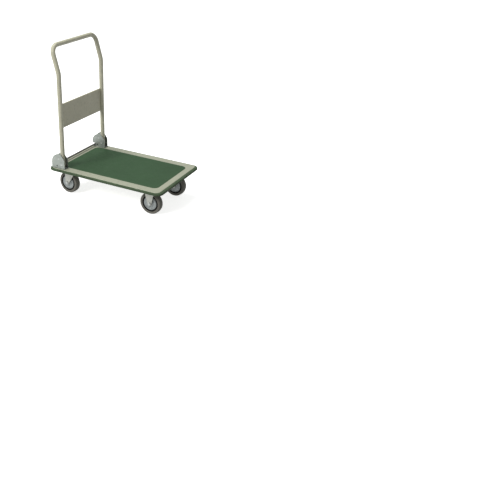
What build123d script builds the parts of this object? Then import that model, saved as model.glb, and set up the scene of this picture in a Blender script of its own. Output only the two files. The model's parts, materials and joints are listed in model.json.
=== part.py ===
from build123d import *
import math
import os

os.makedirs("parts", exist_ok=True)

# Folding platform cart.  Millimetres.  X points from the handle end to the front end,
# Y to the left, Z up.  The origin is on the floor, under the middle of the whole cart.

# ---------------------------------------------------------------- driving dimensions
deck_length = 740.0
deck_width = 480.0
deck_top = 182.0
deck_corner = 28.0
sheet = 2.0                 # deck sheet thickness
flange_depth = 15.0         # down-turned edge of the deck

border_side = 51.0          # cream border between deck edge and mat
border_front = 38.0
border_rear = 40.0
mat_thickness = 3.0
mat_recess = 2.0
mat_corner = 33.0

bumper_side = 7.0           # how far the edge strip stands out, at the sides
bumper_end = 18.0           # and at the two ends
bumper_corner = 38.0
bumper_height = 17.0
bumper_lip = 5.0            # hooked in under the deck flange

tube_diameter = 27.2
tube_wall = 1.8
tube_spacing = 426.0        # centre to centre
tube_back = 300.0           # uprights, behind the deck centre
bend_height = 577.0         # bend of the uprights, above the deck
top_height = 731.0          # centre of the top bar, above the deck
top_back = 43.0             # top bar, behind the uprights
bend_radius = 90.0
top_corner = 50.0

panel_low = 250.0           # lower edge of the panel, above the deck
panel_high = 394.0
panel_sheet = 1.6
panel_hem = 9.0

pivot_height = 26.0         # fold pivot, above the deck
pivot_diameter = 10.0
tube_end_below = 15.0

bracket_length = 92.0
bracket_back = 322.0        # middle of the bracket, behind the deck centre
bracket_gap = 32.0          # between the two cheeks
bracket_sheet = 3.0
cheek_rear = 36.0           # straight part at the back of the cheek, below its round shoulder
cheek_round = 58.0          # radius of that shoulder
cheek_front = 56.0          # straight part at the front, below the slanted edge
cheek_corner = 8.0
inner_cheek_drop = 6.0      # how much lower the inner cheek is
bracket_bolt = 6.0
bracket_bolt_back = (318.0, 284.0)  # behind the deck centre
bracket_bolt_side = 8.5     # either side of the middle of the bracket
backing_length = 62.0
backing_sheet = 4.0

lever_sheet = 6.0
lever_pin_diameter = 6.0
lever_pin_back = 330.0
lever_pin_height = 17.0
bar_diameter = 11.0
bar_back = 352.0
bar_height = 14.0

sector_radius = 25.0
notch_depth = 4.0
notch_from = 143.0          # degrees round the fold pivot, from straight ahead
notch_to = 164.0
tooth_clearance = 0.7       # between the pawl tooth and the sector, with the bar at rest
stop_diameter = 8.0
stop_height = 62.0
sleeve_radius = 8.0
sleeve_length = 28.4

wheel_diameter = 136.0
wheel_width = 40.0
rim_radius = 51.0
disc_radius = 41.0
disc_sheet = 1.8
hub_radius = 12.0
axle_sleeve_radius = 7.5
front_wheel = 276.0         # front axle, ahead of the deck centre
wheel_side = 147.0          # casters, left and right of the deck centre
kingpin_back = 281.0        # kingpin, behind the deck centre
trail = 25.0
swivel_turn = -5.0          # the way the two rear casters happen to stand, in degrees
kingpin_radius = 6.0

plate_length = 90.0
plate_width = 80.0
plate_sheet = 4.0
plate_hole_x = 35.0
plate_hole_ys = (-34.0, 34.0)
caster_bolt = 8.0
fork_gap = 46.0
fork_sheet = 3.0
leg_foot = 13.0             # half width of a leg at the axle
fixed_leg_rear = 38.0       # reach of a leg's upper end, behind and ahead of the axle
fixed_leg_front = 31.0
swivel_leg_rear = 42.0
swivel_leg_front = 36.0
leg_shoulder = 12.0         # straight part below the crown
axle_diameter = 10.0
ball_diameter = 5.6
ball_circle = 24.0
ball_count = 16

beam_depth = 10.0
beam_half_width = 192.0
end_channel_depth = 24.0
end_channel_width = 24.0
end_channel_length = 410.0
channel_sheet = 2.0
beam_wing = 8.0
stiffener_side = 105.0      # left and right of the deck centre
stiffener_web = 30.0
stiffener_wing = 10.0
stiffener_depth = 14.0
stiffener_end = 10.0        # between a stiffener's end and the web of a caster beam

bracket_bolt_head = (5.5, 3.0)      # radius and height
bracket_bolt_below = 7.0    # end of a bolt, below its nut's seat
bracket_nut = (10.0, 5.0)   # across flats and height
caster_bolt_head = (13.0, 5.0)
caster_nut = (13.0, 6.5)
axle_head = (17.0, 5.5)
axle_nut_size = (17.0, 8.0)
axle_end = 3.0              # bolt end beyond its nut
washer_radius = 10.0

clearance = 0.05            # running fit, radial
gap = 0.3                   # free space between pieces that move past each other

# ---------------------------------------------------------------- derived places
front_reach = deck_length / 2 + bumper_end
rear_reach = max(front_reach, tube_back + top_back + tube_diameter / 2)
deck_mid = (rear_reach - front_reach) / 2       # deck centre, seen from the origin

tube_x = deck_mid - tube_back
tube_y = tube_spacing / 2
tube_radius = tube_diameter / 2
pivot_z = deck_top + pivot_height
axle_z = wheel_diameter / 2
mat_half_width = deck_width / 2 - border_side
mat_length = deck_length - border_front - border_rear
mat_mid = deck_mid + (border_rear - border_front) / 2
underside = deck_top - mat_recess - sheet       # lower face of the sheet, under the mat
plate_top = underside - beam_depth
sides = (("left", 1), ("right", -1))

cheek_inner = tube_y - bracket_gap / 2
cheek_outer = tube_y + bracket_gap / 2
pin_x = deck_mid - lever_pin_back
pin_z = deck_top + lever_pin_height
bar_x = deck_mid - bar_back
bar_z = deck_top + bar_height
stop_x = tube_x - tube_radius - stop_diameter / 2 - gap
stop_z = deck_top + stop_height
bracket_bolt_xs = [deck_mid - back for back in bracket_bolt_back]
bracket_bolt_ys = (tube_y - bracket_bolt_side, tube_y + bracket_bolt_side)
bracket_nut_seat = deck_top - sheet - backing_sheet
plate_low = plate_top - plate_sheet             # swivel casters only
crown_top = plate_low - ball_diameter - 2 * clearance


def save(piece, name):
    piece.label = name
    export_step(piece, "parts/" + name + ".step")


def side_plane(y, x=0.0, z=0.0):
    """A vertical plane across Y: local x runs forward, local y runs up, extrude goes to -Y."""
    return Plane(origin=(x, y, z), x_dir=(1, 0, 0), z_dir=(0, -1, 0))


def group(pieces):
    return Compound(children=list(pieces))


def dome_middle(radius, height):
    """Point half way along the arc from a dome's rim to its top, as (from axis, above rim)."""
    sphere = (radius ** 2 + height ** 2) / (2 * height)
    half_angle = math.asin(radius / sphere) / 2
    return sphere * math.sin(half_angle), height - sphere + sphere * math.cos(half_angle)


# ---------------------------------------------------------------- deck
def deck_pan():
    """Pressed sheet with a down-turned edge and a shallow tray for the mat."""
    with BuildPart() as pan:
        with BuildSketch(Plane.XY.offset(deck_top - flange_depth)):
            with Locations((deck_mid, 0)):
                RectangleRounded(deck_length, deck_width, deck_corner)
        extrude(amount=flange_depth)
        fillet(pan.faces().sort_by(Axis.Z)[-1].edges(), 2.0)
        with BuildSketch(Plane.XY.offset(deck_top - mat_recess)):
            with Locations((mat_mid, 0)):
                RectangleRounded(mat_length, 2 * mat_half_width, mat_corner)
        extrude(amount=mat_recess, mode=Mode.SUBTRACT)
        with BuildSketch(Plane.XY.offset(deck_top - flange_depth)):
            with Locations((deck_mid, 0)):
                RectangleRounded(deck_length - 2 * sheet, deck_width - 2 * sheet, deck_corner - sheet)
        extrude(amount=underside - deck_top + flange_depth, mode=Mode.SUBTRACT)
        with BuildSketch(Plane.XY.offset(underside)):
            with Locations((deck_mid, 0)):
                RectangleRounded(deck_length - 2 * sheet, deck_width - 2 * sheet, deck_corner - sheet)
            with Locations((mat_mid, 0)):
                RectangleRounded(mat_length + 2 * sheet, 2 * (mat_half_width + sheet),
                                 mat_corner + sheet, mode=Mode.SUBTRACT)
        extrude(amount=sheet, mode=Mode.SUBTRACT)
        with Locations([(x, s * y, deck_top) for x in bracket_bolt_xs for y in bracket_bolt_ys
                        for _, s in sides]):
            Hole(bracket_bolt / 2 + gap, depth=3 * sheet)
    return pan.part


def deck_mat():
    with BuildPart() as mat:
        with BuildSketch(Plane.XY.offset(deck_top - mat_recess)):
            with Locations((mat_mid, 0)):
                RectangleRounded(mat_length, 2 * mat_half_width, mat_corner)
        extrude(amount=mat_thickness)
        fillet(mat.faces().sort_by(Axis.Z)[-1].edges(), 0.8)
    return mat.part


def edge_bumper():
    """Soft strip round the deck edge, with a lip hooked under the flange."""
    low = deck_top - bumper_height
    with BuildPart() as bumper:
        with BuildSketch(Plane.XY.offset(low)):
            with Locations((deck_mid, 0)):
                RectangleRounded(deck_length + 2 * bumper_end, deck_width + 2 * bumper_side, bumper_corner)
        extrude(amount=bumper_height - 1.0)
        fillet(bumper.faces().sort_by(Axis.Z)[-1].edges(), 4.5)
        fillet(bumper.faces().sort_by(Axis.Z)[0].edges(), 3.0)
        with BuildSketch(Plane.XY.offset(deck_top - flange_depth)):
            with Locations((deck_mid, 0)):
                RectangleRounded(deck_length, deck_width, deck_corner)
        extrude(amount=flange_depth, mode=Mode.SUBTRACT)
        with BuildSketch(Plane.XY.offset(low)):
            with Locations((deck_mid, 0)):
                RectangleRounded(deck_length - 2 * bumper_lip, deck_width - 2 * bumper_lip,
                                 deck_corner - bumper_lip)
        extrude(amount=bumper_height, mode=Mode.SUBTRACT)
    return bumper.part


def end_channel(end):
    """U-channel under the front (end = 1) or rear (end = -1) edge, open to the top."""
    middle = deck_mid + end * (deck_length / 2 - bumper_lip - end_channel_width / 2)
    with BuildPart() as channel:
        with BuildSketch(Plane.XY.offset(deck_top - sheet - end_channel_depth)):
            with Locations((middle, 0)):
                Rectangle(end_channel_width, end_channel_length)
        extrude(amount=end_channel_depth)
        bottom = channel.faces().sort_by(Axis.Z)[0].edges().filter_by(Axis.Y)
        fillet(bottom, 3.0)
        with BuildSketch(Plane.XY.offset(deck_top - end_channel_depth)):
            with Locations((middle, 0)):
                Rectangle(end_channel_width - 2 * channel_sheet, end_channel_length)
        extrude(amount=end_channel_depth, mode=Mode.SUBTRACT)
    return channel.part


def hat_outline(web, wing, depth):
    """Hat section, drawn with its wings at the top and its web at the bottom."""
    half = web / 2
    t = channel_sheet
    with BuildLine() as outline:
        Polyline((-half - wing, 0), (-half - wing, -t), (-half, -t), (-half, -depth), (half, -depth),
                 (half, -t), (half + wing, -t), (half + wing, 0), (half - t, 0), (half - t, t - depth),
                 (t - half, t - depth), (t - half, 0), close=True)
    return outline


def caster_beam(middle, hole_xs):
    """Hat-section cross beam that carries two casters."""
    with BuildPart() as beam:
        with BuildSketch(side_plane(beam_half_width, middle, underside)):
            with BuildLine():
                add(hat_outline(plate_length, beam_wing, beam_depth).line)
            make_face()
        extrude(amount=2 * beam_half_width)
        with Locations([(x, s * wheel_side + y, plate_top + channel_sheet) for x in hole_xs
                        for y in plate_hole_ys for _, s in sides]):
            Hole(caster_bolt / 2 + gap, depth=3 * channel_sheet)
    return beam.part


def stiffener(s):
    """Lengthwise hat section between the two caster beams."""
    rear = deck_mid - kingpin_back + plate_length / 2 + stiffener_end
    front = deck_mid + front_wheel - plate_length / 2 - stiffener_end
    plane = Plane(origin=(rear, s * stiffener_side, underside), x_dir=(0, 1, 0), z_dir=(1, 0, 0))
    with BuildPart() as rib:
        with BuildSketch(plane):
            with BuildLine():
                add(hat_outline(stiffener_web, stiffener_wing, stiffener_depth).line)
            make_face()
        extrude(amount=front - rear)
    return rib.part


# ---------------------------------------------------------------- hinge brackets
def cheek_profile(drop):
    """Side view of a cheek: a round shoulder at the back and a slanted edge at the front."""
    radius = cheek_round - drop
    rear = deck_mid - bracket_back - bracket_length / 2
    front = rear + bracket_length
    top = deck_top + cheek_rear + radius
    round_middle = radius * math.sqrt(0.5)
    with BuildLine() as outline:
        Polyline((rear, deck_top + cheek_rear), (rear, deck_top), (front, deck_top),
                 (front, deck_top + cheek_front), (rear + cheek_round + cheek_corner, top),
                 (rear + radius, top))
        ThreePointArc((rear + radius, top),
                      (rear + radius - round_middle, deck_top + cheek_rear + round_middle),
                      (rear, deck_top + cheek_rear))
    return outline


def hinge_bracket(s):
    """U-shaped bracket, bolted to the deck, that the foot of one upright turns in."""
    middle = deck_mid - bracket_back
    outside = cheek_outer + bracket_sheet
    inside = cheek_inner - bracket_sheet
    with BuildPart() as bracket:
        for near, far, drop in ((cheek_outer, outside, 0.0), (inside, cheek_inner, inner_cheek_drop)):
            with BuildSketch(side_plane(max(s * near, s * far))) as side:
                with BuildLine():
                    add(cheek_profile(drop).line)
                make_face()
                corners = side.vertices().filter_by_position(Axis.X, tube_x, tube_x + bracket_length)
                fillet(corners.filter_by_position(Axis.Y, pivot_z, pivot_z + bracket_length),
                       cheek_corner)
            extrude(amount=bracket_sheet)
        with BuildSketch(Plane.XY.offset(deck_top)):
            with Locations((middle, s * tube_y)):
                Rectangle(bracket_length, outside - inside)
        extrude(amount=bracket_sheet)
        # cross holes: fold pivot, lever pin and stop pin
        for x, z, radius in ((tube_x, pivot_z, pivot_diameter / 2), (pin_x, pin_z, lever_pin_diameter / 2),
                             (stop_x, stop_z, stop_diameter / 2)):
            with BuildSketch(side_plane(tube_y + bracket_length, x, z)):
                Circle(radius)
            extrude(amount=2 * (tube_y + bracket_length), mode=Mode.SUBTRACT)
        # slot in the inner cheek for the release bar, open to the rear
        slot_low = deck_top + bracket_sheet + 0.5
        slot_high = bar_z + bar_diameter / 2 + 4.0
        slot_end = bar_x + bar_diameter / 2 + 2.5
        with BuildSketch(side_plane(max(s * inside, s * cheek_inner))):
            with Locations(((middle - bracket_length + slot_end) / 2, (slot_low + slot_high) / 2)):
                Rectangle(slot_end - middle + bracket_length, slot_high - slot_low)
        extrude(amount=bracket_sheet, mode=Mode.SUBTRACT)
        with Locations([(x, s * y, deck_top + bracket_sheet) for x in bracket_bolt_xs
                        for y in bracket_bolt_ys]):
            Hole(bracket_bolt / 2 + gap, depth=2 * bracket_sheet)
    return bracket.part


def backing_plates():
    plates = []
    middle = sum(bracket_bolt_xs) / 2
    for _, s in sides:
        with BuildPart() as plate:
            with BuildSketch(Plane.XY.offset(bracket_nut_seat)):
                with Locations((middle, s * tube_y)):
                    RectangleRounded(backing_length, bracket_gap, 3.0)
            extrude(amount=backing_sheet)
            with Locations([(x, s * y, deck_top - sheet) for x in bracket_bolt_xs
                            for y in bracket_bolt_ys]):
                Hole(bracket_bolt / 2 + gap, depth=backing_sheet)
        plates.append(plate.part)
    return group(plates)


def bracket_bolt_places():
    return [(x, s * y) for x in bracket_bolt_xs for y in bracket_bolt_ys for _, s in sides]


def bracket_bolts():
    """Cup-head bolts, heads inside the brackets."""
    bolts = []
    seat = deck_top + bracket_sheet
    end = bracket_nut_seat - bracket_bolt_below
    head_radius, head_height = bracket_bolt_head
    out, up = dome_middle(head_radius, head_height)
    for x, y in bracket_bolt_places():
        with BuildPart() as bolt:
            with BuildSketch(Plane(origin=(x, y, 0), x_dir=(1, 0, 0), z_dir=(0, -1, 0))):
                with BuildLine():
                    Polyline((0, seat + head_height), (0, end), (bracket_bolt / 2, end),
                             (bracket_bolt / 2, seat),
                             (head_radius, seat))
                    ThreePointArc((head_radius, seat), (out, seat + up), (0, seat + head_height))
                make_face()
            revolve(axis=Axis((x, y, 0), (0, 0, 1)))
        bolts.append(bolt.part)
    return group(bolts)


def hex_nut(plane, across_flats, height, bore):
    """A plain hexagon nut that stands on the plane."""
    with BuildPart() as nut:
        with BuildSketch(plane):
            RegularPolygon(across_flats / 2, 6, major_radius=False)
            Circle(bore, mode=Mode.SUBTRACT)
        extrude(amount=height)
    return nut.part


def bracket_nuts():
    return group([hex_nut(Plane(origin=(x, y, bracket_nut_seat), z_dir=(0, 0, -1)), *bracket_nut,
                          bracket_bolt / 2) for x, y in bracket_bolt_places()])


# ---------------------------------------------------------------- handle
def handle_tube():
    """One bent tube: two uprights, a backward bend in each, and the top bar."""
    foot = pivot_z - tube_end_below
    bend = deck_top + bend_height
    top = deck_top + top_height
    corners = [(tube_x, tube_y, foot), (tube_x, tube_y, bend), (tube_x - top_back, tube_y, top),
               (tube_x - top_back, -tube_y, top), (tube_x, -tube_y, bend), (tube_x, -tube_y, foot)]
    with BuildPart() as tube:
        with BuildLine() as path:
            FilletPolyline(*corners, radius=[bend_radius, top_corner, top_corner, bend_radius])
        with BuildSketch(Plane(origin=corners[0], x_dir=(1, 0, 0), z_dir=(0, 0, 1))):
            Circle(tube_radius)
            Circle(tube_radius - tube_wall, mode=Mode.SUBTRACT)
        sweep(path=path.line)
        with BuildSketch(side_plane(tube_y + tube_diameter, tube_x, pivot_z)):
            Circle(sleeve_radius)
        extrude(amount=2 * (tube_y + tube_diameter), mode=Mode.SUBTRACT)
    return tube.part


def handle_panel():
    """Sheet panel between the uprights, hemmed back at its top and bottom edge."""
    low = deck_top + panel_low
    high = deck_top + panel_high
    with BuildPart() as panel:
        with BuildSketch(side_plane(tube_y, tube_x)):
            with BuildLine():
                t = panel_sheet / 2
                Polyline((t, low), (t, high), (-panel_hem, high), (-panel_hem, high - panel_sheet),
                         (-t, high - panel_sheet), (-t, low + panel_sheet),
                         (-panel_hem, low + panel_sheet), (-panel_hem, low), close=True)
            make_face()
        extrude(amount=tube_spacing)
        outer = panel.edges().filter_by(Axis.Y).group_by(Axis.X)[-1]
        fillet(outer, 1.4)
        for _, s in sides:
            with BuildSketch(Plane.XY.offset(low - 1)):
                with Locations((tube_x, s * tube_y)):
                    Circle(tube_radius)
            extrude(amount=high - low + 2, mode=Mode.SUBTRACT)
            with BuildSketch(Plane.XY.offset(low - 1)):
                with Locations((tube_x, s * tube_y + s * tube_radius)):
                    Rectangle(2 * tube_diameter, tube_diameter)
            extrude(amount=high - low + 2, mode=Mode.SUBTRACT)
    return panel.part


def tube_end_plugs():
    plugs = []
    foot = pivot_z - tube_end_below
    for _, s in sides:
        with BuildPart() as plug:
            with BuildSketch(Plane.XY.offset(foot - 2.0)):
                with Locations((tube_x, s * tube_y)):
                    Circle(tube_radius)
            extrude(amount=2.0)
            with BuildSketch(Plane.XY.offset(foot)):
                with Locations((tube_x, s * tube_y)):
                    Circle(tube_radius - tube_wall)
            extrude(amount=5.0)
            fillet(plug.faces().sort_by(Axis.Z)[0].edges(), 1.2)
        plugs.append(plug.part)
    return group(plugs)


def pivot_sleeves():
    """Steel sleeves, welded through the feet of the uprights, that turn on the pivot pins."""
    sleeves = []
    for _, s in sides:
        with BuildPart() as sleeve:
            with BuildSketch(side_plane(s * tube_y + sleeve_length / 2, tube_x, pivot_z)):
                Circle(sleeve_radius)
                Circle(pivot_diameter / 2 + clearance, mode=Mode.SUBTRACT)
            extrude(amount=sleeve_length)
        sleeves.append(sleeve.part)
    return group(sleeves)


def lock_sectors():
    """Notched plates welded to the back of the uprights, concentric with the fold pivot."""
    plates = []
    start, end = math.radians(notch_from), math.radians(notch_to)
    deep = sector_radius - notch_depth
    far = sector_radius + 5.0
    for _, s in sides:
        with BuildPart() as plate:
            with BuildSketch(side_plane(s * tube_y + lever_sheet / 2, tube_x, pivot_z)):
                Circle(sector_radius)
                with Locations((sector_radius - tube_radius + 4.0, 0)):
                    Rectangle(2 * sector_radius, 3 * sector_radius, mode=Mode.SUBTRACT)
                with Locations((0, -sector_radius - tube_end_below)):
                    Rectangle(3 * sector_radius, 2 * sector_radius, mode=Mode.SUBTRACT)
                with BuildLine():
                    Polyline((deep * math.cos(start), deep * math.sin(start)),
                             (far * math.cos(start), far * math.sin(start)),
                             (far * math.cos(end), far * math.sin(end)),
                             (deep * math.cos(end), deep * math.sin(end)), close=True)
                make_face(mode=Mode.SUBTRACT)
            extrude(amount=lever_sheet)
            with BuildSketch(Plane.XY.offset(pivot_z - 2 * sector_radius)):
                with Locations((tube_x, s * tube_y)):
                    Circle(tube_radius)
            extrude(amount=4 * sector_radius, mode=Mode.SUBTRACT)
        plates.append(plate.part)
    return group(plates)


# ---------------------------------------------------------------- pins of the brackets
def turned_pin(s, x, z, radius, head_radius, head_height, tail_radius, tail_height):
    """A pin across one bracket, with a low domed head outside and a peened tail inside."""
    outside = cheek_outer + bracket_sheet
    inside = cheek_inner - bracket_sheet
    plane = Plane(origin=(x, 0, z), x_dir=(0, s, 0), z_dir=(s, 0, 0))
    out, up = dome_middle(head_radius, head_height)
    with BuildPart() as pin:
        with BuildSketch(plane):
            with BuildLine():
                Polyline((inside - tail_height, 0), (inside - tail_height, tail_radius * 0.7),
                         (inside, tail_radius), (inside, radius), (outside, radius),
                         (outside, head_radius))
                ThreePointArc((outside, head_radius), (outside + up, out), (outside + head_height, 0))
                Line((outside + head_height, 0), (inside - tail_height, 0))
            make_face()
        revolve(axis=Axis((x, 0, z), (0, 1, 0)))
    return pin.part


def pivot_pins():
    return group([turned_pin(s, tube_x, pivot_z, pivot_diameter / 2, 9.0, 2.6, 7.5, 2.0)
                  for _, s in sides])


def lever_pins():
    return group([turned_pin(s, pin_x, pin_z, lever_pin_diameter / 2, 4.6, 1.0, 4.2, 1.2)
                  for _, s in sides])


def stop_pins():
    return group([turned_pin(s, stop_x, stop_z, stop_diameter / 2, stop_diameter / 2 + 1.4, 0.8, 5.2, 0.8)
                  for _, s in sides])


def pivot_washers():
    """Flat washers that keep the feet of the uprights in the middle of the brackets."""
    thickness = (bracket_gap - sleeve_length) / 2 - 0.2
    washers = []
    for _, s in sides:
        for y in (s * tube_y + bracket_gap / 2, s * tube_y - bracket_gap / 2 + thickness):
            with BuildPart() as washer:
                with BuildSketch(side_plane(y, tube_x, pivot_z)):
                    Circle(washer_radius)
                    Circle(pivot_diameter / 2, mode=Mode.SUBTRACT)
                extrude(amount=thickness)
            washers.append(washer.part)
    return group(washers)


# ---------------------------------------------------------------- release bar and its levers
def release_bar():
    """Round bar across the rear of the deck, pressed down with the foot."""
    reach = tube_y - lever_sheet / 2
    with BuildPart() as bar:
        with BuildSketch(side_plane(reach, bar_x, bar_z)):
            Circle(bar_diameter / 2)
        extrude(amount=2 * reach)
        chamfer(bar.edges().filter_by(GeomType.CIRCLE), 0.5)
    return bar.part


def release_levers():
    """Pawl levers on the bar's ends.  The tooth drops into the notch of the lock sector."""
    tooth_radius = sector_radius + tooth_clearance
    arm_radius = sector_radius + 3.8
    boss = 5.4
    px, pz = pin_x - tube_x, pin_z - pivot_z
    bx, bz = bar_x - tube_x, bar_z - pivot_z

    def at(radius, degrees):
        angle = math.radians(degrees)
        return (radius * math.cos(angle), radius * math.sin(angle))

    levers = []
    for _, s in sides:
        with BuildPart() as lever:
            with BuildSketch(side_plane(s * tube_y + lever_sheet / 2, tube_x, pivot_z)):
                with BuildLine():
                    RadiusArc(at(tooth_radius, 149.0), at(tooth_radius, 158.0), -tooth_radius)
                    Line(at(tooth_radius, 158.0), at(arm_radius, 160.0))
                    RadiusArc(at(arm_radius, 160.0), at(arm_radius, 186.0), -arm_radius)
                    Polyline(at(arm_radius, 186.0), (px, pz), (px - boss, pz), (px - boss, pz + 20.0),
                             at(arm_radius + 5.0, 146.0), at(tooth_radius, 149.0))
                make_face()
                with Locations((px, pz)):
                    Circle(boss)
                with BuildLine():
                    Polyline((px, pz + 4.6), (bx, bz + 7.0), (bx, bz - 6.0), (px, pz - 5.0), close=True)
                make_face()
                with Locations((bx, bz)):
                    Circle(bar_diameter / 2 + 1.8)
                with Locations((px, pz)):
                    Circle(lever_pin_diameter / 2 + clearance, mode=Mode.SUBTRACT)
            extrude(amount=lever_sheet)
        levers.append(lever.part)
    return group(levers)


def return_springs():
    """Coil springs round the lever pins, between the lever and the outer cheek."""
    wire = 1.4
    pitch = 2.0
    turns = 4
    springs = []
    for _, s in sides:
        start = s * (tube_y + lever_sheet / 2 + 1.6)
        radius = lever_pin_diameter / 2 + wire / 2 + 0.5
        with BuildPart() as spring:
            with BuildLine() as coil:
                Helix(pitch, pitch * turns, radius, center=(pin_x, start, pin_z), direction=(0, s, 0))
            with BuildSketch(Plane(origin=coil.line @ 0, z_dir=coil.line % 0)):
                Circle(wire / 2)
            sweep(path=coil.line, is_frenet=True)
        springs.append(spring.part)
    return group(springs)


# ---------------------------------------------------------------- casters
class Caster:
    """Where one caster stands: plate centre, wheel centre and the direction it points."""

    def __init__(self, name, x, s, turn, offset):
        angle = math.radians(turn)
        self.name = name
        self.plate = (x, s * wheel_side)
        self.forward = (math.cos(angle), math.sin(angle), 0)
        self.across = (-math.sin(angle), math.cos(angle), 0)
        self.hub = (x - offset * self.forward[0], s * wheel_side - offset * self.forward[1], axle_z)
        self.offset = offset

    def section(self):
        """Plane through the axle: local x along the axle, local y up."""
        normal = (self.forward[0], self.forward[1], 0)
        return Plane(origin=self.hub, x_dir=self.across, z_dir=normal)

    def side(self, distance):
        """Plane beside the wheel: local x forward, local y up, extrude goes to the right."""
        origin = [h + distance * a for h, a in zip(self.hub, self.across)]
        right = (-self.across[0], -self.across[1], 0)
        return Plane(origin=tuple(origin), x_dir=self.forward, z_dir=right)

    def axis(self):
        return Axis(self.hub, self.across)


casters = [Caster("front_" + name, deck_mid + front_wheel, s, 0.0, 0.0) for name, s in sides]
casters += [Caster("rear_" + name, deck_mid - kingpin_back, s, swivel_turn, trail) for name, s in sides]


def tyre(caster):
    half = wheel_width / 2
    top = wheel_diameter / 2
    with BuildPart() as piece:
        with BuildSketch(caster.section()):
            with BuildLine():
                Polyline((half - 1.5, top - 9.0), (half - 0.5, rim_radius + 3.0), (half - 3.0, rim_radius),
                         (3.0 - half, rim_radius), (0.5 - half, rim_radius + 3.0), (1.5 - half, top - 9.0))
                ThreePointArc((1.5 - half, top - 9.0), (4.0 - half, top - 3.0), (9.0 - half, top - 0.6))
                ThreePointArc((9.0 - half, top - 0.6), (0, top), (half - 9.0, top - 0.6))
                ThreePointArc((half - 9.0, top - 0.6), (half - 4.0, top - 3.0), (half - 1.5, top - 9.0))
            make_face()
        revolve(axis=caster.axis())
    return piece.part


def rim_ring(caster):
    """Black ring between the pressed discs and the tyre."""
    half = wheel_width / 2 - 3.0
    inner = half - 1.5
    with BuildPart() as piece:
        with BuildSketch(caster.section()):
            with BuildLine():
                Polyline((half, rim_radius), (half, rim_radius - 2.0), (inner, disc_radius),
                         (-inner, disc_radius), (-half, rim_radius - 2.0), (-half, rim_radius),
                         close=True)
            make_face()
        revolve(axis=caster.axis())
    return piece.part


def wheel_discs(caster):
    """Two pressed steel discs, dished inwards between the hub and the rim."""
    half = wheel_width / 2
    face = [(half - 1.0, hub_radius), (half - 1.0, hub_radius + 5.0), (half - 6.5, hub_radius + 10.0),
            (half - 7.5, disc_radius - 11.0), (half - 5.5, disc_radius - 6.0), (half - 4.5, disc_radius)]
    discs = []
    for s in (1, -1):
        profile = [(s * x, r) for x, r in face]
        inner = [(s * (x - disc_sheet), r) for x, r in reversed(face)]
        with BuildPart() as disc:
            with BuildSketch(caster.section()):
                with BuildLine():
                    Polyline(*profile, *inner, close=True)
                make_face()
            revolve(axis=caster.axis())
        discs.append(disc.part)
    return group(discs)


def wheel_bearing(caster):
    """Bearing tube in the middle of the wheel, turning on the axle sleeve."""
    with BuildPart() as piece:
        with BuildSketch(caster.section()):
            with Locations((0, (hub_radius + axle_sleeve_radius + clearance) / 2)):
                Rectangle(wheel_width, hub_radius - axle_sleeve_radius - clearance)
        revolve(axis=caster.axis())
    return piece.part


def axle_sleeve(caster):
    """Spacer tube clamped between the fork legs by the axle bolt."""
    with BuildPart() as piece:
        with BuildSketch(caster.section()):
            with Locations((0, (axle_sleeve_radius + axle_diameter / 2) / 2)):
                Rectangle(fork_gap, axle_sleeve_radius - axle_diameter / 2)
        revolve(axis=caster.axis())
    return piece.part


def axle_bolt(caster):
    """Bolt through the fork, hexagon head on the outer leg."""
    s = 1 if caster.plate[1] > 0 else -1
    outside = fork_gap / 2 + fork_sheet
    with BuildPart() as piece:
        with BuildSketch(caster.side(s * outside)):
            Circle(axle_diameter / 2)
        extrude(amount=s * (2 * outside + axle_nut_size[1] + axle_end))
        with BuildSketch(caster.side(s * outside)):
            RegularPolygon(axle_head[0] / 2, 6, major_radius=False)
        extrude(amount=-s * axle_head[1])
        chamfer(piece.faces().sort_by(Axis.Y)[-1 if s > 0 else 0].edges(), 0.8)
    return piece.part


def axle_nut(caster):
    s = 1 if caster.plate[1] > 0 else -1
    outside = fork_gap / 2 + fork_sheet
    with BuildPart() as piece:
        with BuildSketch(caster.side(-s * outside)):
            RegularPolygon(axle_nut_size[0] / 2, 6, major_radius=False)
            Circle(axle_diameter / 2, mode=Mode.SUBTRACT)
        extrude(amount=s * axle_nut_size[1])
    return piece.part


def leg_outline(top_from, top_to, crown):
    """Outline of a leg seen from the side: round at the axle, wide at the crown."""
    top = crown - leg_shoulder
    with BuildLine() as outline:
        Polyline((leg_foot, 0), (top_to, top), (top_to, crown), (top_from, crown), (top_from, top),
                 (-leg_foot, 0))
        ThreePointArc((-leg_foot, 0), (0, -leg_foot), (leg_foot, 0))
    return outline


def fork_legs(caster, top_from, top_to, crown):
    """Both legs and the crown that joins them, as one bent sheet."""
    outside = fork_gap / 2 + fork_sheet
    with BuildPart() as legs:
        with BuildSketch(caster.side(outside)):
            with BuildLine():
                add(leg_outline(top_from, top_to, crown).line)
            make_face()
        extrude(amount=2 * outside)
        with BuildSketch(caster.side(fork_gap / 2)):
            with Locations((0, crown - fork_sheet - 2 * wheel_diameter)):
                Rectangle(4 * wheel_diameter, 4 * wheel_diameter)
        extrude(amount=fork_gap, mode=Mode.SUBTRACT)
        with BuildSketch(caster.side(outside)):
            Circle(axle_diameter / 2)
        extrude(amount=2 * outside, mode=Mode.SUBTRACT)
    return legs.part


def fixed_fork(caster):
    """Rigid fork with its own top plate."""
    x, y = caster.plate
    crown = plate_top - axle_z
    legs = fork_legs(caster, -fixed_leg_rear, fixed_leg_front, crown)
    with BuildPart() as fork:
        add(legs)
        with BuildSketch(Plane.XY.offset(plate_top - fork_sheet)):
            with Locations((x, y)):
                RectangleRounded(plate_length, plate_width, 6.0)
        extrude(amount=fork_sheet)
        with Locations([(x + dx, y + dy, plate_top) for dx in (-plate_hole_x, plate_hole_x)
                        for dy in plate_hole_ys]):
            Hole(caster_bolt / 2 + gap, depth=2 * plate_sheet)
    return fork.part


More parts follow.
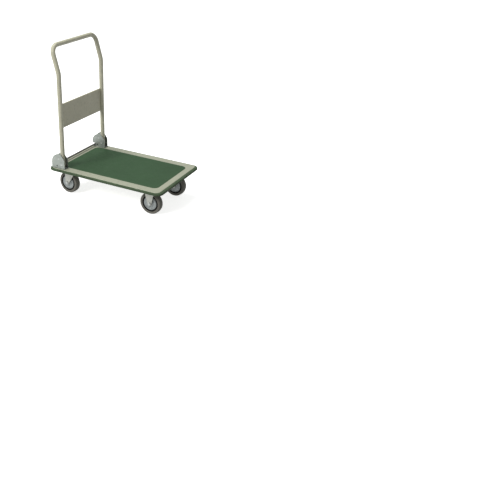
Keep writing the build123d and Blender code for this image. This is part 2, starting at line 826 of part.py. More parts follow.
def swivel_plate(caster):
    """Top plate of a swivel caster, with the upper ball race pressed into it."""
    x, y = caster.plate
    with BuildPart() as plate:
        with BuildSketch(Plane.XY.offset(plate_low)):
            with Locations((x, y)):
                RectangleRounded(plate_length, plate_width, 6.0)
        extrude(amount=plate_sheet)
        with BuildSketch(Plane.XY.offset(crown_top + 1.0)):
            with Locations((x, y)):
                Circle(ball_circle - ball_diameter / 2 - gap)
        extrude(amount=plate_low - crown_top - 1.0)
        with BuildSketch(Plane.XY.offset(crown_top)):
            with Locations((x, y)):
                Circle(kingpin_radius)
        extrude(amount=plate_top - crown_top, mode=Mode.SUBTRACT)
        with Locations([(x + dx, y + dy, plate_top) for dx in (-plate_hole_x, plate_hole_x)
                        for dy in plate_hole_ys]):
            Hole(caster_bolt / 2 + gap, depth=2 * plate_sheet)
    return plate.part


def swivel_fork(caster):
    """Trailing fork with the lower ball race and its dust rim on the crown."""
    x, y = caster.plate
    crown = crown_top - axle_z
    rim_inner = ball_circle + ball_diameter / 2 + gap
    legs = fork_legs(caster, trail - swivel_leg_rear, trail + swivel_leg_front, crown)
    with BuildPart() as fork:
        add(legs)
        with BuildSketch(Plane.XY.offset(crown_top - fork_sheet)):
            with Locations((x, y)):
                Circle(rim_inner + 2.5)
        extrude(amount=fork_sheet)
        with BuildSketch(Plane.XY.offset(crown_top)):
            with Locations((x, y)):
                Circle(rim_inner + 2.5)
                Circle(rim_inner, mode=Mode.SUBTRACT)
        extrude(amount=plate_low - crown_top - 0.6)
        with BuildSketch(Plane.XY.offset(crown_top - 2 * fork_sheet)):
            with Locations((x, y)):
                Circle(kingpin_radius + clearance)
        extrude(amount=4 * fork_sheet, mode=Mode.SUBTRACT)
    return fork.part


def ball_ring(caster):
    x, y = caster.plate
    balls = []
    z = crown_top + clearance + ball_diameter / 2
    for k in range(ball_count):
        angle = 2 * math.pi * k / ball_count
        with BuildPart() as ball:
            with Locations((x + ball_circle * math.cos(angle), y + ball_circle * math.sin(angle), z)):
                Sphere(ball_diameter / 2)
        balls.append(ball.part)
    return group(balls)


def kingpin(caster):
    """Headed rivet that holds the fork under the plate."""
    x, y = caster.plate
    under = crown_top - fork_sheet - gap
    with BuildPart() as pin:
        with BuildSketch(Plane.XY.offset(under)):
            with Locations((x, y)):
                Circle(kingpin_radius)
        extrude(amount=plate_top - under)
        with BuildSketch(Plane.XY.offset(under - 4.0)):
            with Locations((x, y)):
                Circle(kingpin_radius + 4.5)
        extrude(amount=4.0)
        fillet(pin.faces().sort_by(Axis.Z)[0].edges(), 1.5)
    return pin.part


def caster_bolt_places():
    return [(c.plate[0] + dx, c.plate[1] + dy, plate_low if c.offset else plate_top - fork_sheet)
            for c in casters for dx in (-plate_hole_x, plate_hole_x) for dy in plate_hole_ys]


def caster_bolts():
    """Hexagon bolts from below, through the plates and the beams."""
    bolts = []
    for x, y, z in caster_bolt_places():
        with BuildPart() as bolt:
            with BuildSketch(Plane.XY.offset(z)):
                with Locations((x, y)):
                    Circle(caster_bolt / 2)
            extrude(amount=underside - 0.5 - z)
            with BuildSketch(Plane.XY.offset(z - caster_bolt_head[1])):
                with Locations((x, y)):
                    RegularPolygon(caster_bolt_head[0] / 2, 6, major_radius=False)
            extrude(amount=caster_bolt_head[1])
        bolts.append(bolt.part)
    return group(bolts)


def caster_nuts():
    seat = plate_top + channel_sheet
    return group([hex_nut(Plane(origin=(x, y, seat)), *caster_nut, caster_bolt / 2)
                  for x, y, _ in caster_bolt_places()])


# ---------------------------------------------------------------- write every sub-part
save(deck_pan(), "deck_pan")
save(deck_mat(), "deck_mat")
save(edge_bumper(), "edge_bumper")
save(group([end_channel(1), end_channel(-1)]), "end_channels")
hole_xs_front = [deck_mid + front_wheel + dx for dx in (-plate_hole_x, plate_hole_x)]
hole_xs_rear = [deck_mid - kingpin_back + dx for dx in (-plate_hole_x, plate_hole_x)]
save(caster_beam(deck_mid + front_wheel, hole_xs_front), "front_caster_beam")
save(caster_beam(deck_mid - kingpin_back, hole_xs_rear), "rear_caster_beam")
save(group([stiffener(s) for _, s in sides]), "deck_stiffeners")
for name, s in sides:
    save(hinge_bracket(s), "hinge_bracket_" + name)
save(backing_plates(), "bracket_backing_plates")
save(bracket_bolts(), "bracket_bolts")
save(bracket_nuts(), "bracket_nuts")
save(pivot_pins(), "pivot_pins")
save(pivot_washers(), "pivot_washers")
save(lever_pins(), "lever_pins")
save(stop_pins(), "stop_pins")

save(handle_tube(), "handle_tube")
save(handle_panel(), "handle_panel")
save(tube_end_plugs(), "tube_end_plugs")
save(pivot_sleeves(), "pivot_sleeves")
save(lock_sectors(), "lock_sectors")

save(release_bar(), "release_bar")
save(release_levers(), "release_levers")
save(return_springs(), "return_springs")

for caster in casters:
    save(tyre(caster), caster.name + "_tyre")
    save(rim_ring(caster), caster.name + "_rim_ring")
    save(wheel_discs(caster), caster.name + "_wheel_discs")
    save(wheel_bearing(caster), caster.name + "_wheel_bearing")
fixed, turning = casters[:2], casters[2:]
save(group([axle_sleeve(c) for c in fixed]), "front_axle_sleeves")
save(group([axle_bolt(c) for c in fixed]), "front_axle_bolts")
save(group([axle_nut(c) for c in fixed]), "front_axle_nuts")
for caster in fixed:
    save(fixed_fork(caster), caster.name + "_fixed_fork")
for caster in turning:
    save(axle_sleeve(caster), caster.name + "_axle_sleeve")
    save(axle_bolt(caster), caster.name + "_axle_bolt")
    save(axle_nut(caster), caster.name + "_axle_nut")
    save(swivel_fork(caster), caster.name + "_swivel_fork")
    save(ball_ring(caster), caster.name + "_ball_ring")
save(group([swivel_plate(c) for c in turning]), "swivel_plates")
save(group([kingpin(c) for c in turning]), "kingpins")
save(caster_bolts(), "caster_bolts")
save(caster_nuts(), "caster_nuts")
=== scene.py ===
import bpy
import bmesh
import json
import math
from mathutils import Matrix, Vector


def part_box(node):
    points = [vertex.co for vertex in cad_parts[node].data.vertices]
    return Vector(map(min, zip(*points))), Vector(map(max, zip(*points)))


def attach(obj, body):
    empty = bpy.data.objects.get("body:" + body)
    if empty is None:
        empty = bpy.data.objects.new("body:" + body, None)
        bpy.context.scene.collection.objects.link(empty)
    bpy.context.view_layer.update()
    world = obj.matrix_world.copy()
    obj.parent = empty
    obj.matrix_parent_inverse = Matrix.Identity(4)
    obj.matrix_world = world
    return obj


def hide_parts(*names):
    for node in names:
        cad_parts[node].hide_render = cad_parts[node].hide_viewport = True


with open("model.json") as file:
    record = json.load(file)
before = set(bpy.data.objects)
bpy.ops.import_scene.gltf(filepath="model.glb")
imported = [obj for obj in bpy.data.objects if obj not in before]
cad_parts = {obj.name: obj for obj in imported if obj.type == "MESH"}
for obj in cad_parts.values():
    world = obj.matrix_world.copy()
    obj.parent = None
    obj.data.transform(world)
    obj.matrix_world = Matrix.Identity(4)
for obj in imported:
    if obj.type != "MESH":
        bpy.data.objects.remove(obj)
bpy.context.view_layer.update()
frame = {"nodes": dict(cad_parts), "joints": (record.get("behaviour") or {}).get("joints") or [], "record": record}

MM = 0.001
TURNS = 128             # steps round a wheel
SHARP = 32.0            # degrees; sharper edges of pressed parts are broken
scene = bpy.context.scene
nodes = frame["nodes"]
joints = {j["name"]: j for j in frame["joints"]}
casters = ("front_left", "front_right", "rear_left", "rear_right")


# ---------------------------------------------------------------- camera, light and floor
def make_camera():
    """The photograph's view: a long lens, a little above the deck, from the front right."""
    azimuth, elevation, roll = math.radians(26.445), math.radians(24.435), math.radians(1.911)
    back = Vector((math.sin(azimuth) * math.cos(elevation), -math.cos(azimuth) * math.cos(elevation),
                   math.sin(elevation)))
    right = Vector((math.cos(azimuth), math.sin(azimuth), 0))
    up = back.cross(right)
    right, up = (right * math.cos(roll) + up * math.sin(roll),
                 up * math.cos(roll) - right * math.sin(roll))
    turn = Matrix((right, up, back)).transposed().to_4x4()
    camera = bpy.data.objects.new("camera", bpy.data.cameras.new("camera"))
    scene.collection.objects.link(camera)
    camera.matrix_world = Matrix.Translation((2.0869, -3.2892, 1.7994)) @ turn
    camera.data.sensor_width = 36.0
    camera.data.lens = 51.64
    camera.data.shift_x = 0.104
    camera.data.shift_y = -0.104
    camera.data.clip_end = 50.0
    scene.camera = camera


def area_light(name, place, aim, size, power, colour):
    light = bpy.data.lights.new(name, "AREA")
    light.shape = "DISK"
    light.size = size
    light.energy = power
    light.color = colour
    lamp = bpy.data.objects.new(name, light)
    scene.collection.objects.link(lamp)
    lamp.location = place
    lamp.rotation_mode = "QUATERNION"
    lamp.rotation_quaternion = (Vector(aim) - Vector(place)).to_track_quat("-Z", "Y")


def make_world():
    """Dim, even light all round; the camera sees it as a white backdrop."""
    world = bpy.data.worlds.new("studio")
    scene.world = world
    world.use_nodes = True
    tree = world.node_tree
    sky = tree.nodes["Background"]
    sky.inputs["Color"].default_value = (1.0, 1.0, 1.0, 1)
    sky.inputs["Strength"].default_value = 0.30
    backdrop = tree.nodes.new("ShaderNodeBackground")
    backdrop.inputs["Strength"].default_value = 1.0
    backdrop.inputs["Color"].default_value = (1.0, 1.0, 1.0, 1)
    seen = tree.nodes.new("ShaderNodeLightPath")
    choice = tree.nodes.new("ShaderNodeMixShader")
    tree.links.new(seen.outputs["Is Camera Ray"], choice.inputs[0])
    tree.links.new(sky.outputs[0], choice.inputs[1])
    tree.links.new(backdrop.outputs[0], choice.inputs[2])
    tree.links.new(choice.outputs[0], tree.nodes["World Output"].inputs["Surface"])


def make_lights():
    """A soft key light high on the right of the cart, and a wide one above."""
    area_light("key", (-2.1, -5.5, 4.7), (0, 0, 0.25), 2.6, 335.0, (1.0, 0.985, 0.955))
    area_light("top", (-1.2, 0.8, 5.2), (0, 0, 0.2), 3.0, 130.0, (0.985, 1.0, 0.99))
    scene.view_settings.view_transform = "Standard"


def make_floor():
    """Plain white paper."""
    floor_mesh = bpy.data.meshes.new("floor")
    half = 14.0
    floor_mesh.from_pydata([(-half, -half, 0), (half, -half, 0), (half, half, 0), (-half, half, 0)],
                           [], [(0, 1, 2, 3)])
    floor = bpy.data.objects.new("floor", floor_mesh)
    scene.collection.objects.link(floor)
    paper = bpy.data.materials.new("floor_paper")
    paper.use_nodes = True
    shader = paper.node_tree.nodes["Principled BSDF"]
    shader.inputs["Base Color"].default_value = (0.90, 0.90, 0.895, 1)
    shader.inputs["Roughness"].default_value = 0.9
    shader.inputs["Emission Color"].default_value = (1.0, 1.0, 0.995, 1)
    shader.inputs["Emission Strength"].default_value = 0.76
    floor_mesh.materials.append(paper)
    floor.visible_diffuse = False


# ---------------------------------------------------------------- materials
class Surface:
    """A small helper that adds nodes to one procedural material."""

    def __init__(self, name, roughness, metallic=0.0, **sockets):
        self.material = bpy.data.materials.new(name)
        self.material.use_nodes = True
        self.tree = self.material.node_tree
        self.shader = self.tree.nodes["Principled BSDF"]
        self.shader.inputs["Roughness"].default_value = roughness
        self.shader.inputs["Metallic"].default_value = metallic
        for socket, value in sockets.items():
            self.shader.inputs[socket.replace("_", " ")].default_value = value
        self.place = self.add("ShaderNodeTexCoord").outputs["Object"]
        self.height = None

    def add(self, kind, **settings):
        node = self.tree.nodes.new(kind)
        for key, value in settings.items():
            setattr(node, key, value)
        return node

    def link(self, a, b):
        self.tree.links.new(a, b)

    def stretched(self, scale):
        mapping = self.add("ShaderNodeMapping")
        mapping.inputs["Scale"].default_value = scale
        self.link(self.place, mapping.inputs["Vector"])
        return mapping.outputs["Vector"]

    def noise(self, scale, detail=3.0, rough=0.55, distortion=0.0, vector=None):
        node = self.add("ShaderNodeTexNoise")
        node.inputs["Scale"].default_value = scale
        node.inputs["Detail"].default_value = detail
        node.inputs["Roughness"].default_value = rough
        node.inputs["Distortion"].default_value = distortion
        self.link(vector or self.place, node.inputs["Vector"])
        return node.outputs["Fac"]

    def cells(self, scale, feature="F1"):
        node = self.add("ShaderNodeTexVoronoi", feature=feature)
        node.inputs["Scale"].default_value = scale
        self.link(self.place, node.inputs["Vector"])
        return node

    def ramp(self, value, stops):
        node = self.add("ShaderNodeValToRGB")
        ramp = node.color_ramp
        while len(ramp.elements) < len(stops):
            ramp.elements.new(0.5)
        for element, (position, colour) in zip(ramp.elements, stops):
            element.position = position
            element.color = (*colour, 1)
        self.link(value, node.inputs["Fac"])
        return node.outputs["Color"]

    def span(self, value, low, high, start=0.0, end=1.0):
        node = self.add("ShaderNodeMapRange")
        for name, number in (("From Min", start), ("From Max", end), ("To Min", low), ("To Max", high)):
            node.inputs[name].default_value = number
        self.link(value, node.inputs["Value"])
        return node.outputs["Result"]

    def mix(self, factor, a, b, kind="MIX"):
        node = self.add("ShaderNodeMix", data_type="RGBA", blend_type=kind)
        if isinstance(factor, float):
            node.inputs[0].default_value = factor
        else:
            self.link(factor, node.inputs[0])
        for socket, value in ((node.inputs[6], a), (node.inputs[7], b)):
            if isinstance(value, tuple):
                socket.default_value = (*value, 1)
            else:
                self.link(value, socket)
        return node.outputs[2]

    def colour(self, value):
        self.link(value, self.shader.inputs["Base Color"])

    def rough(self, value):
        self.link(value, self.shader.inputs["Roughness"])

    def bump(self, value, distance, strength=1.0):
        node = self.add("ShaderNodeBump")
        node.inputs["Distance"].default_value = distance
        node.inputs["Strength"].default_value = strength
        self.link(value, node.inputs["Height"])
        if self.height:
            self.link(self.height, node.inputs["Normal"])
        self.height = node.outputs["Normal"]
        self.link(self.height, self.shader.inputs["Normal"])


def shade(colour, factor):
    return tuple(c * factor for c in colour)


def powder_coat(name, colour, roughness=0.42):
    """Powder-coated steel: orange peel, faint mottling, darker grime and worn edges."""
    s = Surface(name, roughness, Specular_IOR_Level=0.45, Coat_Weight=0.12, Coat_Roughness=0.25)
    mottled = s.ramp(s.noise(9.0, 4.0), [(0.3, shade(colour, 0.955)), (0.7, shade(colour, 1.035))])
    fine = s.ramp(s.noise(240.0, 2.0), [(0.35, (0.975, 0.975, 0.97)), (0.65, (1.0, 1.0, 1.0))])
    base = s.mix(1.0, mottled, fine, "MULTIPLY")
    worn = s.ramp(s.add("ShaderNodeNewGeometry").outputs["Pointiness"],
                  [(0.515, (0, 0, 0)), (0.56, (0.35, 0.35, 0.35))])
    patchy = s.mix(1.0, worn, s.ramp(s.noise(60.0, 5.0, 0.7), [(0.5, (0, 0, 0)), (0.66, (1, 1, 1))]),
                   "MULTIPLY")
    s.colour(s.mix(patchy, base, shade(colour, 0.55)))
    s.rough(s.span(s.noise(30.0, 5.0), roughness - 0.07, roughness + 0.09, 0.3, 0.7))
    s.bump(s.noise(420.0, 1.5, 0.4), 0.00006, 0.55)
    s.bump(s.noise(85.0, 1.0, 0.4), 0.00010, 0.35)
    return s.material


def vinyl_mat(name, colour):
    """Green vinyl sheet with a pebbled grain, light scuffs and a slight sheen."""
    s = Surface(name, 0.55, Specular_IOR_Level=0.28, Sheen_Weight=0.03, Sheen_Roughness=0.6)
    broad = s.ramp(s.noise(5.0, 4.0, 0.6), [(0.3, shade(colour, 0.93)), (0.7, shade(colour, 1.07))])
    grain = s.cells(520.0, "SMOOTH_F1")
    pits = s.ramp(grain.outputs["Distance"], [(0.15, (1.04, 1.04, 1.04)), (0.75, (0.82, 0.84, 0.82))])
    base = s.mix(1.0, broad, pits, "MULTIPLY")
    long_way = s.stretched((7.0, 60.0, 7.0))
    scuffs = s.ramp(s.noise(3.2, 8.0, 0.72, 0.4, long_way), [(0.64, (0, 0, 0)), (0.78, (0.34, 0.34, 0.34))])
    s.colour(s.mix(scuffs, base, tuple(min(1.0, c * 1.45 + 0.02) for c in colour)))
    s.rough(s.span(s.noise(24.0, 4.0), 0.47, 0.66, 0.3, 0.7))
    s.bump(grain.outputs["Distance"], 0.00028, 0.7)
    s.bump(s.noise(1500.0, 2.0), 0.00005, 0.4)
    return s.material


def moulded_rubber(name, colour, roughness):
    """Rubber or soft vinyl: fine grain, handling dust and uneven gloss."""
    dust = 0.12
    dust_colour = (0.30, 0.28, 0.24)
    s = Surface(name, roughness, Specular_IOR_Level=0.06)
    tone = s.ramp(s.noise(26.0, 5.0, 0.6), [(0.3, shade(colour, 0.86)), (0.7, shade(colour, 1.12))])
    film = s.ramp(s.noise(70.0, 8.0, 0.7, 0.3), [(0.52, (0, 0, 0)), (0.72, (dust, dust, dust))])
    s.colour(s.mix(film, tone, dust_colour))
    s.rough(s.span(s.noise(55.0, 4.0), roughness - 0.1, roughness + 0.1, 0.3, 0.7))
    s.bump(s.noise(900.0, 3.0, 0.6), 0.00008, 0.6)
    return s.material


def tyre_rubber(name, colour):
    """Grey-brown solid rubber: dusty sidewalls, tread scuffed across the rolling direction."""
    s = Surface(name, 0.78, Specular_IOR_Level=0.10)
    tone = s.ramp(s.noise(32.0, 6.0, 0.65), [(0.3, shade(colour, 0.80)), (0.7, shade(colour, 1.18))])
    across = s.stretched((1.0, 9.0, 1.0))
    scuffs = s.ramp(s.noise(120.0, 7.0, 0.7, 0.2, across), [(0.54, (0, 0, 0)), (0.74, (0.4, 0.4, 0.4))])
    s.colour(s.mix(scuffs, tone, tuple(c * 1.5 for c in colour)))
    s.rough(s.span(s.noise(60.0, 4.0), 0.62, 0.82, 0.3, 0.7))
    s.bump(s.noise(700.0, 4.0, 0.65), 0.00012, 0.6)
    s.bump(s.noise(90.0, 4.0, 0.6, 0.3, across), 0.00018, 0.35)
    return s.material


def zinc(name, colour, roughness, spangle=70.0):
    """Zinc-plated steel: soft blue-white spangle, fine grain and dull patches."""
    s = Surface(name, roughness, 0.55, Specular_IOR_Level=0.4)
    flakes = s.cells(spangle)
    tint = s.ramp(flakes.outputs["Color"], [(0.2, shade(colour, 0.93)), (0.8, shade(colour, 1.05))])
    cloud = s.ramp(s.noise(18.0, 5.0, 0.6), [(0.3, (0.9, 0.915, 0.92)), (0.7, (1.0, 1.0, 1.0))])
    base = s.mix(1.0, tint, cloud, "MULTIPLY")
    stain = s.ramp(s.noise(42.0, 7.0, 0.72, 0.5), [(0.6, (0, 0, 0)), (0.78, (0.42, 0.42, 0.42))])
    s.colour(s.mix(stain, base, shade(colour, 0.66)))
    s.rough(s.span(s.noise(38.0, 5.0), roughness - 0.08, roughness + 0.14, 0.3, 0.7))
    s.bump(s.noise(300.0, 3.0, 0.6), 0.00005, 0.4)
    return s.material


def dark_metal(name, colour, roughness=0.45, bare_edge=(0.33, 0.31, 0.29)):
    """Dark coated steel, worn to bare metal along its edges."""
    s = Surface(name, roughness, 0.35, Specular_IOR_Level=0.5)
    tone = s.ramp(s.noise(45.0, 6.0, 0.65), [(0.3, shade(colour, 0.8)), (0.7, shade(colour, 1.2))])
    bare = s.ramp(s.add("ShaderNodeNewGeometry").outputs["Pointiness"],
                  [(0.53, (0, 0, 0)), (0.60, (0.5, 0.5, 0.5))])
    s.colour(s.mix(bare, tone, bare_edge))
    s.rough(s.span(s.noise(80.0, 4.0), roughness - 0.1, roughness + 0.12, 0.3, 0.7))
    s.bump(s.noise(500.0, 3.0), 0.00005, 0.45)
    return s.material


def black_plastic(name):
    """Matt black plastic with a fine grain."""
    s = Surface(name, 0.6, Specular_IOR_Level=0.08)
    s.colour(s.ramp(s.noise(60.0, 5.0), [(0.3, (0.005, 0.005, 0.005)), (0.7, (0.012, 0.012, 0.011))]))
    s.rough(s.span(s.noise(110.0, 4.0), 0.42, 0.62, 0.3, 0.7))
    s.bump(s.noise(1100.0, 2.0), 0.00005, 0.5)
    return s.material


def make_materials():
    """One material for each slot of the record, and two more: a lighter copy of the zinc for the forks, which is
    painted light, and a darker copy of the handle cream for the panel, which is painted shade.
    """
    return {
        "cream_paint": powder_coat("deck_cream_coat", (0.430, 0.450, 0.345)),
        "cream_paint_handle": powder_coat("handle_cream_coat", (0.560, 0.550, 0.415)),
        # painted shade: the handle's cream made darker, standing in for the shade on the panel's front face, which
        # faces away from the key light
        "panel": powder_coat("panel_cream_coat_painted_shade", (0.470, 0.452, 0.322)),
        "green_mat": vinyl_mat("green_vinyl", (0.036, 0.090, 0.037)),
        "green_bumper": moulded_rubber("bumper_vinyl", (0.080, 0.118, 0.069), 0.50),
        "green_paint": powder_coat("underframe_green_coat", (0.040, 0.066, 0.034), 0.5),
        "zinc_plate": zinc("zinc_sheet", (0.325, 0.355, 0.330), 0.42),
        # painted light: the brackets' zinc made lighter and warmer, so that the forks read as brightly lit where
        # they sit in the deck's shade
        "fork": zinc("zinc_fork_painted_light", (0.415, 0.420, 0.385), 0.42),
        "zinc_disc": zinc("zinc_disc", (0.265, 0.288, 0.288), 0.38, 95.0),
        "zinc_fastener": zinc("zinc_fastener", (0.45, 0.47, 0.46), 0.34, 260.0),
        "bright_steel": zinc("ground_steel", (0.50, 0.50, 0.49), 0.28, 400.0),
        "black_steel": dark_metal("black_oxide", (0.006, 0.006, 0.006), 0.6, (0.02, 0.02, 0.02)),
        "dark_steel": dark_metal("grey_lever_coat", (0.080, 0.076, 0.066)),
        "black_plastic": black_plastic("black_polythene"),
        "black_rim": black_plastic("black_rim_ring"),
        "tyre": tyre_rubber("tyre_rubber", (0.200, 0.195, 0.172)),
    }


# ---------------------------------------------------------------- mesh helpers
def new_piece(name, mesh, material, *replaced):
    """A smooth-shaded object of one material, which may stand for CAD nodes."""
    piece = bpy.data.objects.new(name, mesh)
    scene.collection.objects.link(piece)
    mesh.materials.clear()
    mesh.materials.append(material)
    for face in mesh.polygons:
        face.use_smooth = True
        face.material_index = 0
    if replaced:
        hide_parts(*replaced)
    return piece


def sharpen(mesh, degrees):
    """Keeps edges sharper than this many degrees crisp in the shading."""
    mesh.set_sharp_from_angle(angle=math.radians(degrees))


def body_of(node):
    """The CAD body that a node belongs to."""
    for body, members in frame["record"]["behaviour"]["bodies"].items():
        if node in members:
            return body


def refined(node, width, segments=2, finish=None):
    """Stands for a CAD node: the same shape with its sharp edges broken, as on pressed steel."""
    mesh = nodes[node].data.copy()
    bm = bmesh.new()
    bm.from_mesh(mesh)
    bmesh.ops.remove_doubles(bm, verts=bm.verts, dist=2e-6)
    bmesh.ops.dissolve_limit(bm, angle_limit=math.radians(1.0), verts=bm.verts, edges=bm.edges)
    bm.to_mesh(mesh)
    bm.free()
    piece = new_piece(node + "_finished", mesh, materials[finish or slots[node]], node)
    sharpen(mesh, SHARP)
    bevel = piece.modifiers.new("edges", "BEVEL")
    bevel.width = width
    bevel.segments = segments
    bevel.limit_method = "ANGLE"
    bevel.angle_limit = math.radians(SHARP)
    bevel.harden_normals = True
    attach(piece, body_of(node))
    return piece


def arc(centre, radius, start, end, steps):
    """Points on an arc, angles in degrees, as (along, out) pairs."""
    points = []
    for k in range(steps + 1):
        angle = math.radians(start + (end - start) * k / steps)
        points.append((centre[0] + radius * math.cos(angle), centre[1] + radius * math.sin(angle)))
    return points


def lathe(name, profile):
    """Turns a closed profile of (along the axle, radius) pairs, in mm, round the local Y axis."""
    bm = bmesh.new()
    rings = []
    for k in range(TURNS):
        angle = 2 * math.pi * k / TURNS
        rings.append([bm.verts.new((r * math.cos(angle) * MM, y * MM, r * math.sin(angle) * MM))
                      for y, r in profile])
    count = len(profile)
    for k in range(TURNS):
        a, b = rings[k], rings[(k + 1) % TURNS]
        for i in range(count):
            j = (i + 1) % count
            bm.faces.new((a[i], a[j], b[j], b[i]))
    bmesh.ops.recalc_face_normals(bm, faces=bm.faces)
    mesh = bpy.data.meshes.new(name)
    bm.to_mesh(mesh)
    bm.free()
    return mesh


# ---------------------------------------------------------------- wheels
def wheel_matrix(caster):
    """Local Y along the axle, origin in the middle of the wheel."""
    joint = joints[caster + "_wheel_spin"]
    across = Vector(joint["axis"]).normalized()
    up = Vector((0, 0, 1))
    forward = across.cross(up)
    turn = Matrix((forward, across, up)).transposed().to_4x4()
    return Matrix.Translation(Vector(joint["pos_m"])) @ turn


def tyre_profile(half, rim, top):
    """Rounded shoulders, a low ridge on each sidewall and a fine mould seam in the tread."""
    side = [(half - 2.6, rim), (half - 1.0, rim + 1.2), (half - 0.6, rim + 3.0), (half - 1.3, rim + 4.2),
            (half - 1.6, rim + 6.0), (half - 1.1, rim + 7.2), (half - 0.7, top - 8.0)]
    shoulder = arc((half - 7.2, top - 7.6), 6.6, 0, 72, 9)
    crown = [(6.5, top - 0.35), (2.0, top - 0.06), (0.45, top - 0.02), (0.0, top)]
    right = side + shoulder + crown
    left = [(-y, r) for y, r in reversed(right[:-1])]
    return right + left


def disc_profile(half, hub, edge, sheet):
    """One pressed disc: hub flange, smooth dish, raised ring and rolled rim."""
    face = [(half - 0.2, hub), (half, hub + 0.8), (half, hub + 3.6)]
    face += arc((half - 2.2, hub + 4.0), 2.2, 0, 62, 5)
    face += [(half - 3.4, hub + 9.0)]
    face += [(half - 4.9 + 0.55 * (1 - math.cos(2 * math.pi * k / 8)), hub + 10.5 + 1.35 * k)
             for k in range(9)]
    face += [(half - 4.3, edge - 5.6), (half - 2.9, edge - 3.6), (half - 2.3, edge - 1.8)]
    face += arc((half - 3.1, edge - 0.8), 0.8, 40, 100, 4)
    back = [(y - sheet, r) for y, r in reversed(face)]
    return face + back


def make_wheel(caster):
    """Tyre, black ring and two pressed discs, in place of the plain CAD ones."""
    body = caster + "_wheel"
    place = wheel_matrix(caster)
    low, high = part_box(caster + "_tyre")
    top = (high.z - low.z) / 2 / MM
    half = 19.5             # tyre, half width
    rim = 51.0              # inner radius of the tyre
    edge = 41.0             # outer radius of the discs
    pieces = []
    tread = new_piece(caster + "_tyre_rubber", lathe("tyre", tyre_profile(half, rim, top)),
                      materials["tyre"], caster + "_tyre")
    sharpen(tread.data, 50)
    pieces.append(tread)
    ring_half = 16.9        # black ring, half width
    ring = [(ring_half, rim), (ring_half, rim - 0.7), (ring_half - 1.6, rim - 1.4),
            (ring_half - 2.4, edge + 2.0), (ring_half - 2.2, edge - 0.6)]
    ring += [(-y, r) for y, r in reversed(ring)]
    well = new_piece(caster + "_rim_well", lathe("rim", ring), materials["black_rim"],
                     caster + "_rim_ring")
    sharpen(well.data, 40)
    pieces.append(well)
    disc_half, hub, sheet = 19.0, 12.0, 1.5
    outer = disc_profile(disc_half, hub, edge, sheet)
    for side, name in ((1, "left"), (-1, "right")):
        profile = [(side * y, r) for y, r in outer]
        disc = new_piece(caster + "_disc_" + name, lathe("disc", profile), materials["zinc_disc"],
                         *([caster + "_wheel_discs"] if side > 0 else []))
        sharpen(disc.data, 40)
        pieces.append(disc)
    for piece in pieces:
        piece.matrix_world = place
        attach(piece, body)


# ---------------------------------------------------------------- edge bumper
def rounded_ring(half_x, half_y, radius, height, steps=12):
    """Points round a rectangle with round corners, the same number for every ring."""
    points = []
    for sx, sy, start in ((1, 1, 0), (-1, 1, 90), (-1, -1, 180), (1, -1, 270)):
        for k in range(steps + 1):
            angle = math.radians(start + 90 * k / steps)
            points.append((sx * (half_x - radius) + radius * math.cos(angle),
                           sy * (half_y - radius) + radius * math.sin(angle), height))
    return points


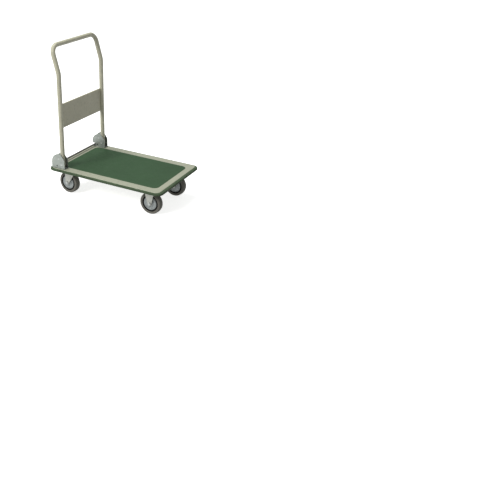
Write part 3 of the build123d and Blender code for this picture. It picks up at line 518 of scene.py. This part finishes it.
def make_bumper():
    """Soft strip with a round nose and two shallow grooves, hooked under the deck flange."""
    low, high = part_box("edge_bumper")
    deck_low, deck_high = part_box("deck_pan")
    tall = high.z - low.z
    deck_x, deck_y, deck_round = deck_high.x, deck_high.y, 28.0 * MM
    end, side, outer_round = high.x, high.y, 38.0 * MM
    lip = 5.0 * MM          # hooked in under the flange
    flange_end = deck_low.z - low.z
    # (0 at the deck edge to 1 at the outer face, height)
    profile = [(0.0, tall - 0.5 * MM), (0.08, tall)]
    profile += [(0.45 + 0.55 * math.sin(math.radians(a)), tall - 5.2 * MM * (1 - math.cos(math.radians(a))))
                for a in range(0, 91, 15)]
    for middle in (0.56 * tall, 0.36 * tall):
        profile += [(1.0, middle + 0.8 * MM), (0.955, middle + 0.4 * MM), (0.955, middle - 0.4 * MM),
                    (1.0, middle - 0.8 * MM)]
    profile += [(0.62 + 0.38 * math.cos(math.radians(a)), 3.2 * MM * (1 - math.sin(math.radians(a))))
                for a in range(0, 91, 18)]
    rings = []
    for t, h in profile:
        rings.append(rounded_ring(deck_x + t * (end - deck_x), deck_y + t * (side - deck_y),
                                  deck_round + t * (outer_round - deck_round), low.z + h))
    inner = (deck_x - lip, deck_y - lip, deck_round - lip)
    rings.append(rounded_ring(*inner, low.z))
    rings.append(rounded_ring(*inner, low.z + flange_end))
    rings.append(rounded_ring(deck_x, deck_y, deck_round, low.z + flange_end))
    bm = bmesh.new()
    loops = [[bm.verts.new(point) for point in ring] for ring in rings]
    count = len(loops[0])
    for a, b in zip(loops, loops[1:] + loops[:1]):
        for i in range(count):
            j = (i + 1) % count
            bm.faces.new((a[i], a[j], b[j], b[i]))
    bmesh.ops.recalc_face_normals(bm, faces=bm.faces)
    mesh = bpy.data.meshes.new("bumper")
    bm.to_mesh(mesh)
    bm.free()
    piece = new_piece("edge_bumper_strip", mesh, materials["green_bumper"], "edge_bumper")
    sharpen(mesh, 38)
    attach(piece, "platform")


# ---------------------------------------------------------------- build
make_camera()
make_world()
make_lights()
make_floor()
materials = make_materials()
slots = {s["node"]: s["material_slot"] for s in frame["record"]["subparts"]}

for name, piece in nodes.items():
    piece.data.materials.clear()
    piece.data.materials.append(materials[slots[name]])

# The panel gets the darker copy of the handle paint: painted shade on its front face.
nodes["handle_panel"].data.materials[0] = materials["panel"]

for caster in casters:
    make_wheel(caster)
make_bumper()

for name in ("hinge_bracket_left", "hinge_bracket_right"):
    refined(name, 0.7 * MM, 3)
# The forks get the lighter copy of the zinc: painted light.
for name in ("front_left_fixed_fork", "front_right_fixed_fork", "rear_left_swivel_fork",
             "rear_right_swivel_fork"):
    refined(name, 0.7 * MM, 3, "fork")
for name in ("swivel_plates", "bracket_backing_plates", "end_channels", "deck_stiffeners",
             "front_caster_beam", "rear_caster_beam", "release_levers", "lock_sectors"):
    refined(name, 0.5 * MM)
for name in ("bracket_nuts", "caster_nuts", "caster_bolts", "front_axle_bolts", "front_axle_nuts",
             "rear_left_axle_bolt", "rear_left_axle_nut", "rear_right_axle_bolt",
             "rear_right_axle_nut"):
    refined(name, 0.5 * MM)
